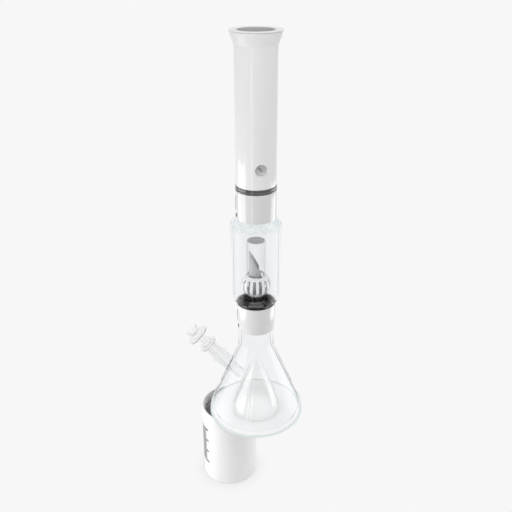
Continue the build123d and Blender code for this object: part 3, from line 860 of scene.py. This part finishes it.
def make_mouth_flare():
    """The trumpet mouth: it widens in a slow curve, with a groove under its rim."""
    foot, rim_r = FLARE_FOOT + GAP, 30.7
    corners = section(
        (TUBE_R + 0.4, foot), (26.4, FLARE_FOOT + 3), (27.4, FLARE_FOOT + 6),
        (28.6, FLARE_FOOT + 9), (29.8, MOUTH_TOP - 1.6), (29.1, MOUTH_TOP - 1.1),
        (rim_r, MOUTH_TOP - 0.7), (rim_r, MOUTH_TOP, 0.3), (TUBE_BORE + 0.4, MOUTH_TOP, 0.5),
        (TUBE_BORE, MOUTH_TOP - 3), (TUBE_BORE, foot),
    )
    flare = turned("mouth_flare_glass", rounded(corners, 8), on_pipe)
    finish(flare, OPAL_RIM, "mouthpiece_body", "opal_glass", "mouth_flare")


# ---- side stem and bowl -------------------------------------------------
def make_downstem():
    """A ground tube with a grip disc at its mouth and three crossed slits in its tip."""
    mouth, grip_end = STEM_MOUTH + GAP, STEM_MOUTH + 3
    mouth_bore, grip_r, joint_r, tube_r, tube_bore = 6.05, 13.5, 9.4, 7.5, 5
    corners = stem_section(
        (mouth_bore, mouth), (grip_r, mouth, 1.3), (grip_r, grip_end, 1.3),
        (joint_r, grip_end, 1.2), (joint_r, SOCKET_MOUTH - 4, 0.6), (9.0, SOCKET_MOUTH),
        (8.31, JOINT_END), (tube_r, JOINT_END + 1), (tube_r, STEM_END, 0.7),
        (tube_bore, STEM_END, 0.7), (tube_bore, SOCKET_MOUTH), (mouth_bore, SOCKET_MOUTH - 1),
    )
    stem = turned("downstem_glass", rounded(corners), on_stem, steps=SMALL_TURN_STEPS)
    slit_size = Matrix.Diagonal((1.4 * MM, 20 * MM, 22 * MM, 1))
    for k in range(3):
        bpy.ops.mesh.primitive_cube_add(size=1)
        slit = bpy.context.object
        slit.matrix_world = (
            on_stem @ Matrix.Translation((0, 0, stem_level(STEM_END)))
            @ Matrix.Rotation(math.radians(60 * k), 4, "Z") @ slit_size
        )
        cut(stem, slit)
    settle(stem)
    finish(stem, STEM_GLASS, "downstem_body", "clear_glass", "downstem")


def make_bowl():
    """A small funnel with a grip disc, waisted above the foot that seats in the downstem."""
    waist_r, grip_r, foot_r, tube_r, hole_r = 6.3, 16, 8.6, 5.9, 2.6
    grip_end, foot_end = BOWL_GRIP + 3, STEM_MOUTH - GAP
    corners = stem_section(
        (7.8, 0, 0.6), (9.5, 0, 0.8), (waist_r, BOWL_GRIP, 2), (grip_r, BOWL_GRIP, 1.3),
        (grip_r, grip_end, 1.3), (waist_r, grip_end, 1.2), (waist_r, STEM_MOUTH - 7, 3),
        (foot_r, STEM_MOUTH - 4, 2), (foot_r, foot_end, 0.6), (tube_r, foot_end),
        (tube_r, BOWL_END, 0.6), (hole_r, BOWL_END), (hole_r, BOWL_LEDGE), (4.6, BOWL_LEDGE),
    )
    bowl = turned("bowl_glass", rounded(corners), on_stem, steps=SMALL_TURN_STEPS)
    finish(bowl, STEM_GLASS, "bowl_body", "clear_glass", "bowl")
    screen = frame["nodes"]["bowl_screen"]
    screen.data.materials.clear()
    screen.data.materials.append(STEEL_MESH)


# a sleeve's radii at its foot and at its rim, in millimetres
LOWER_SLEEVE = 24.4, 26.0
UPPER_SLEEVE = 25.5, 25.5

make_cup()
make_flask()
make_inner_cone()
make_collar("lower_sleeve", LOWER_JOINT, *LOWER_SLEEVE, 1.8, "lower_collar", "flask_body")
make_insert("lower_insert", LOWER_JOINT, 24.85, "lower_thread_insert", "flask_body")
make_gasket(
    "lower_ring_seal", LOWER_JOINT, 22.5, CLEAR_SEAL, "clear_rubber", "lower_gasket", "lower_seal",
)
make_thread_ring(
    "chamber_ring", LOWER_JOINT, 24.8, CLEAR_RING, "clear_plastic", "chamber_thread_ring",
    "chamber_body",
)
make_scale()
make_collar_marks("lower_mark", LOWER_JOINT, *LOWER_SLEEVE, "flask_body")
make_collar_marks("upper_mark", UPPER_JOINT, *UPPER_SLEEVE, "chamber_body")
make_chamber()
make_riser()
make_lantern()
make_cap()
make_collar("upper_sleeve", UPPER_JOINT, *UPPER_SLEEVE, 0, "upper_collar", "chamber_body")
make_insert("upper_insert", UPPER_JOINT, 25.5, "upper_thread_insert", "chamber_body")
make_gasket(
    "upper_ring_seal", UPPER_JOINT, 25.4, BLACK_SEAL, "black_rubber", "upper_gasket", "upper_seal",
)
make_thread_ring(
    "mouthpiece_ring", UPPER_JOINT, 25.4, BLACK_PLASTIC, "black_plastic",
    "mouthpiece_thread_ring", "mouthpiece_body",
)
make_mouth_tube()
make_mouth_flare()
make_downstem()
make_bowl()


# ---- stage, light and camera --------------------------------------------
PALE = (0.93, 0.93, 0.93, 1)    # the floor and the background, as they are seen
AMBIENT = 0.57                  # the world's strength where it lights the object
CEILING = 1.08                  # and high up, where it is seen through glass


def seen_directly(tree):
    """1 for rays that show the background: straight, mirrored or through glass."""
    path = add_node(tree, "ShaderNodeLightPath")
    first = add_node(tree, "ShaderNodeMath", operation="MAXIMUM")
    both = add_node(tree, "ShaderNodeMath", operation="MAXIMUM")
    tree.links.new(path.outputs["Is Camera Ray"], first.inputs[0])
    tree.links.new(path.outputs["Is Glossy Ray"], first.inputs[1])
    tree.links.new(first.outputs[0], both.inputs[0])
    tree.links.new(path.outputs["Is Transmission Ray"], both.inputs[1])
    return both.outputs[0]


def make_floor():
    """A plain floor that glows as pale as the background, with a soft contact shadow."""
    bpy.ops.mesh.primitive_plane_add(size=40, location=(pipe.x, pipe.y, -0.2 * MM))
    floor = bpy.context.object
    floor.name = "floor"
    bpy.ops.object.transform_apply(location=True)
    material = bpy.data.materials.new("floor")
    material.use_nodes = True
    tree = material.node_tree
    tree.nodes.clear()
    output = add_node(tree, "ShaderNodeOutputMaterial")
    mix = add_node(tree, "ShaderNodeMixShader")
    matt = add_node(tree, "ShaderNodeBsdfDiffuse")
    matt.inputs["Color"].default_value = (0.8, 0.8, 0.8, 1)
    glow = add_node(tree, "ShaderNodeEmission")
    shade = add_node(tree, "ShaderNodeAmbientOcclusion", samples=16)
    shade.inputs["Distance"].default_value = 0.025
    ramp = add_node(tree, "ShaderNodeValToRGB")
    ramp.color_ramp.elements[0].color = (0.72, 0.72, 0.72, 1)
    ramp.color_ramp.elements[1].position = 0.9
    ramp.color_ramp.elements[1].color = PALE
    tree.links.new(shade.outputs["AO"], ramp.inputs["Fac"])
    tree.links.new(ramp.outputs["Color"], glow.inputs["Color"])
    tree.links.new(seen_directly(tree), mix.inputs["Fac"])
    tree.links.new(matt.outputs[0], mix.inputs[1])
    tree.links.new(glow.outputs[0], mix.inputs[2])
    tree.links.new(mix.outputs[0], output.inputs["Surface"])
    floor.data.materials.append(material)
    floor.select_set(False)


def make_world():
    """Pale where it is seen or mirrored, with a brighter ceiling over the inside of the glass."""
    world = bpy.data.worlds.new("studio")
    bpy.context.scene.world = world
    world.use_nodes = True
    tree = world.node_tree
    glow = tree.nodes["Background"]
    strength = add_node(tree, "ShaderNodeMapRange")
    strength.inputs["To Min"].default_value = AMBIENT
    strength.inputs["To Max"].default_value = PALE[0]
    tree.links.new(seen_directly(tree), strength.inputs["Value"])
    place = add_node(tree, "ShaderNodeTexCoord")
    split = add_node(tree, "ShaderNodeSeparateXYZ")
    ceiling = add_node(tree, "ShaderNodeMapRange")
    ceiling.inputs["From Min"].default_value = 0.35
    ceiling.inputs["From Max"].default_value = 0.6
    ceiling.inputs["To Max"].default_value = CEILING
    path = add_node(tree, "ShaderNodeLightPath")
    through_glass = add_node(tree, "ShaderNodeMath", operation="MULTIPLY")
    brighter = add_node(tree, "ShaderNodeMath", operation="MAXIMUM")
    tree.links.new(place.outputs["Generated"], split.inputs[0])
    tree.links.new(split.outputs["Z"], ceiling.inputs["Value"])
    tree.links.new(ceiling.outputs[0], through_glass.inputs[0])
    tree.links.new(path.outputs["Is Transmission Ray"], through_glass.inputs[1])
    tree.links.new(strength.outputs[0], brighter.inputs[0])
    tree.links.new(through_glass.outputs[0], brighter.inputs[1])
    tree.links.new(brighter.outputs[0], glow.inputs["Strength"])
    glow.inputs["Color"].default_value = (1, 1, 1, 1)


def hide_through_glass(lamp):
    """The lamp lights and is mirrored, but isn't seen straight through clear glass."""
    lamp.use_nodes = True
    tree = lamp.node_tree
    path = add_node(tree, "ShaderNodeLightPath")
    bounces = add_node(tree, "ShaderNodeMath", operation="ADD")
    through = add_node(tree, "ShaderNodeMath", operation="MINIMUM")
    through.inputs[1].default_value = 1
    hidden = add_node(tree, "ShaderNodeMath", operation="SUBTRACT", use_clamp=True)
    shown = add_node(tree, "ShaderNodeMath", operation="SUBTRACT", use_clamp=True)
    shown.inputs[0].default_value = 1
    tree.links.new(path.outputs["Glossy Depth"], bounces.inputs[0])
    tree.links.new(path.outputs["Diffuse Depth"], bounces.inputs[1])
    tree.links.new(path.outputs["Transmission Depth"], through.inputs[0])
    tree.links.new(through.outputs[0], hidden.inputs[0])
    tree.links.new(bounces.outputs[0], hidden.inputs[1])
    tree.links.new(hidden.outputs[0], shown.inputs[1])
    tree.links.new(shown.outputs[0], tree.nodes["Emission"].inputs["Strength"])


def soft_box(name, azimuth, distance, low, tall, wide, radiance, tilt=90):
    """A soft box that faces the pipe, from an azimuth counted from -Y towards +X; 90 is upright."""
    data = bpy.data.lights.new(name, "AREA")
    data.shape = "RECTANGLE"
    data.size, data.size_y = wide, tall
    data.energy = radiance * math.pi * wide * tall
    light = bpy.data.objects.new(name, data)
    bpy.context.scene.collection.objects.link(light)
    turn = math.radians(azimuth)
    light.location = (
        pipe.x + distance * math.sin(turn), pipe.y - distance * math.cos(turn), low + tall / 2,
    )
    light.rotation_euler = (math.radians(tilt), 0, turn)
    light.visible_camera = False
    hide_through_glass(data)


def make_camera():
    """In front of the pipe and above it, looking down at it by 26 degrees."""
    data = bpy.data.cameras.new("camera")
    data.sensor_width = 36
    data.lens = 45
    camera = bpy.data.objects.new("camera", data)
    bpy.context.scene.collection.objects.link(camera)
    camera.location = (pipe.x, pipe.y - 0.735, PIPE_FOOT + 0.6035)
    camera.rotation_euler = (math.radians(90 - 26), 0, 0)
    bpy.context.scene.camera = camera


make_floor()
make_world()
soft_box("left_box", -84, 0.42, 0.0, 0.36, 0.42, 2.4)
soft_box("front_strip", -22, 0.6, 0.0, 0.9, 0.055, 2.0)
soft_box("right_box", 110, 0.42, 0.0, 0.32, 0.32, 2.0)
soft_box("top_box", 4, 0.55, 0.95, 0.45, 0.6, 2.2, tilt=48)
make_camera()
bpy.context.scene.view_settings.view_transform = "Standard"
